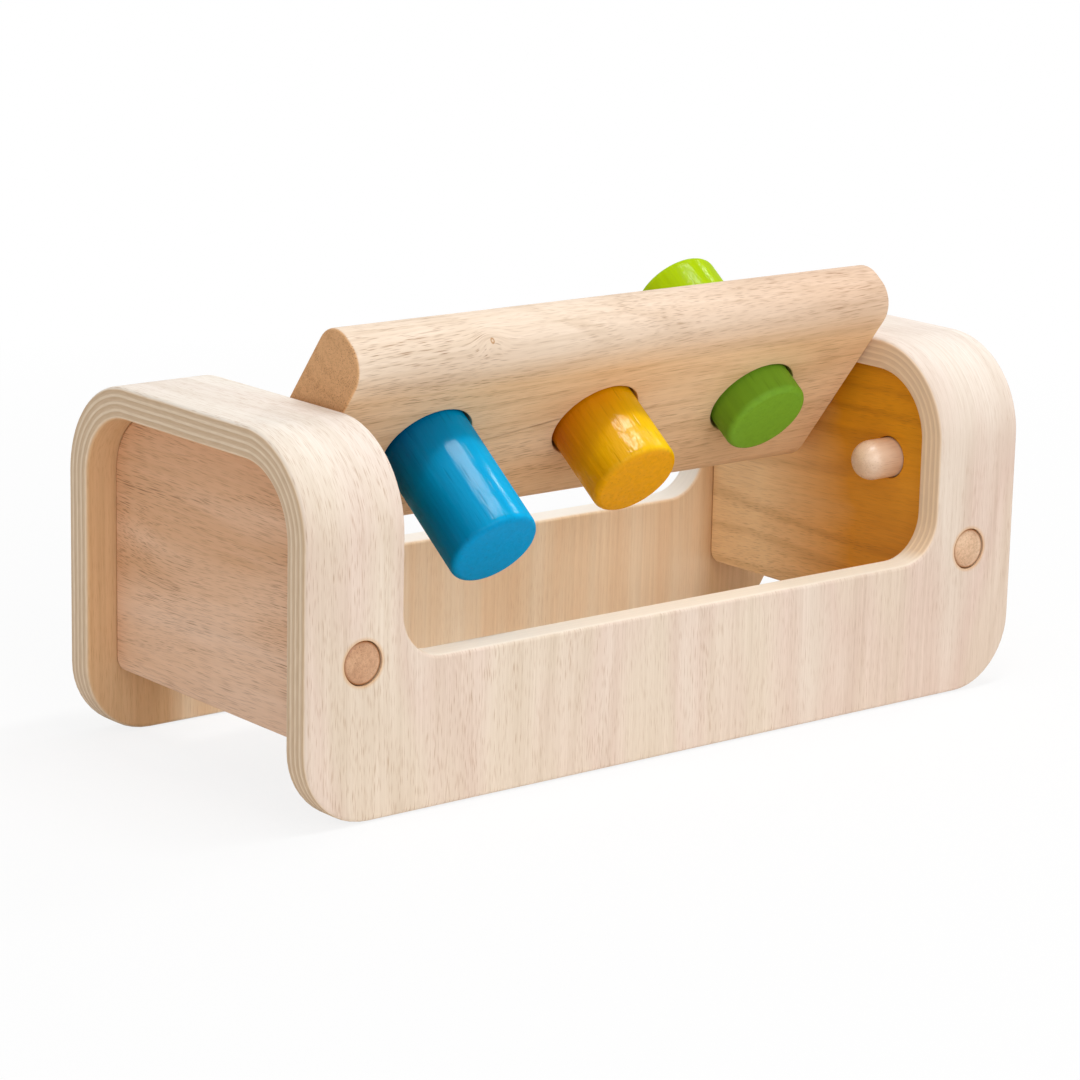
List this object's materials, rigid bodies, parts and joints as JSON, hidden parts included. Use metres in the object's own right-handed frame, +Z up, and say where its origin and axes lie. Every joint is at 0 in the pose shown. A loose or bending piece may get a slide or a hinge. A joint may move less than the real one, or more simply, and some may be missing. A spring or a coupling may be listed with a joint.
{
  "type": "peg pounding bench",
  "caption": "Wooden pounding bench: a bent plywood shell with end panels and a window, and a bar of painted pegs that turns over on axles, with pegs that slide through it.",
  "frame": {"origin": "on the ground, under the middle of the shell", "axes": "+X along the bench to the right, +Y from front to rear, +Z up; the front faces -Y"},
  "size_m": [0.26, 0.114, 0.1254],
  "materials": {
    "shell_ply": "pale veneer with striped ply edges, satin lacquer",
    "panel_wood": "solid rubberwood, satin lacquer",
    "bar_wood": "solid rubberwood, satin lacquer",
    "dowel_wood": "end grain, satin lacquer",
    "pin_wood": "turned wood, satin lacquer",
    "blue_paint": "glossy paint over wood grain",
    "yellow_paint": "glossy paint over wood grain",
    "green_paint": "glossy paint over wood grain",
    "grip_rubber": "matt black"
  },
  "bodies": {
    "frame": {"ply_shell": "shell_ply", "left_end_panel": "panel_wood", "right_end_panel": "panel_wood", "front_left_dowel": "dowel_wood", "front_right_dowel": "dowel_wood", "rear_left_dowel": "dowel_wood", "rear_right_dowel": "dowel_wood", "front_left_stop": "pin_wood", "front_right_stop": "pin_wood", "rear_left_stop": "pin_wood", "rear_right_stop": "pin_wood"},
    "bar": {"peg_bar": "bar_wood", "left_axle": "dowel_wood", "right_axle": "dowel_wood", "left_grip_ring": "grip_rubber", "middle_grip_ring": "grip_rubber", "right_grip_ring": "grip_rubber"},
    "blue_peg": {"blue_peg": "blue_paint"},
    "yellow_peg": {"yellow_peg": "yellow_paint"},
    "green_peg": {"green_peg": "green_paint"}
  },
  "joints": [
    {"name": "bar_turn", "type": "hinge", "parent": "frame", "child": "bar", "pos_m": [0, 0, 0.084], "axis": [-1, 0, 0], "range_deg": [-53, 127]},
    {"name": "blue_peg_slide", "type": "slide", "parent": "bar", "child": "blue_peg", "axis": [0, -0.7986, -0.6018], "range_m": [-0.0435, 0.0005]},
    {"name": "yellow_peg_slide", "type": "slide", "parent": "bar", "child": "yellow_peg", "axis": [0, -0.7986, -0.6018], "range_m": [-0.028, 0.016]},
    {"name": "green_peg_slide", "type": "slide", "parent": "bar", "child": "green_peg", "axis": [0, -0.7986, -0.6018], "range_m": [-0.0135, 0.0305]}
  ]
}
